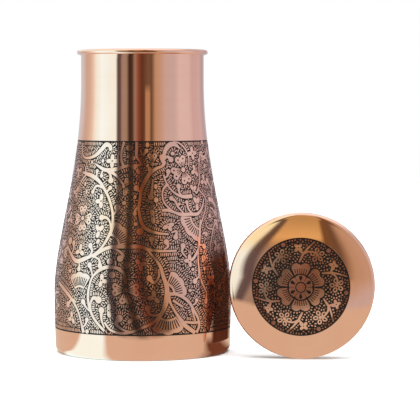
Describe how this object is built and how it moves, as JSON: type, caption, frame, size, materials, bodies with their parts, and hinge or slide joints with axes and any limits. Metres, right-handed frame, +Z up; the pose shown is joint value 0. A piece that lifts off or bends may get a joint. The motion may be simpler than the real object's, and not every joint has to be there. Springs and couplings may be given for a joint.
{
  "type": "water jug",
  "caption": "Tall round metal water jug with a straight neck, rolled rim and flared belly, and a loose domed plug lid standing on edge beside it.",
  "frame": {"origin": "centre of the jug's foot, on the surface that the jug and its lid stand on", "axes": "+Z up along the jug's axis, out of its mouth; -Y is the front, which the lid's dome faces; +X is towards the lid"},
  "size_m": [0.2204, 0.1236, 0.21],
  "materials": {
    "etched_copper": "polished copper with a dark etched band",
    "polished_copper": "polished copper",
    "plain_copper": "satin copper",
    "solder": "dull tin solder"
  },
  "bodies": {
    "jug": {"body_shell": "etched_copper", "rim_wire": "plain_copper", "base_disc": "plain_copper", "base_solder": "solder"},
    "lid": {"lid_dome": "polished_copper", "lid_liner": "plain_copper"}
  },
  "joints": [
    {"name": "lid_lift", "type": "slide", "parent": "jug", "child": "lid", "axis": [0, 0, 1], "range_m": [0, 0.25]}
  ]
}
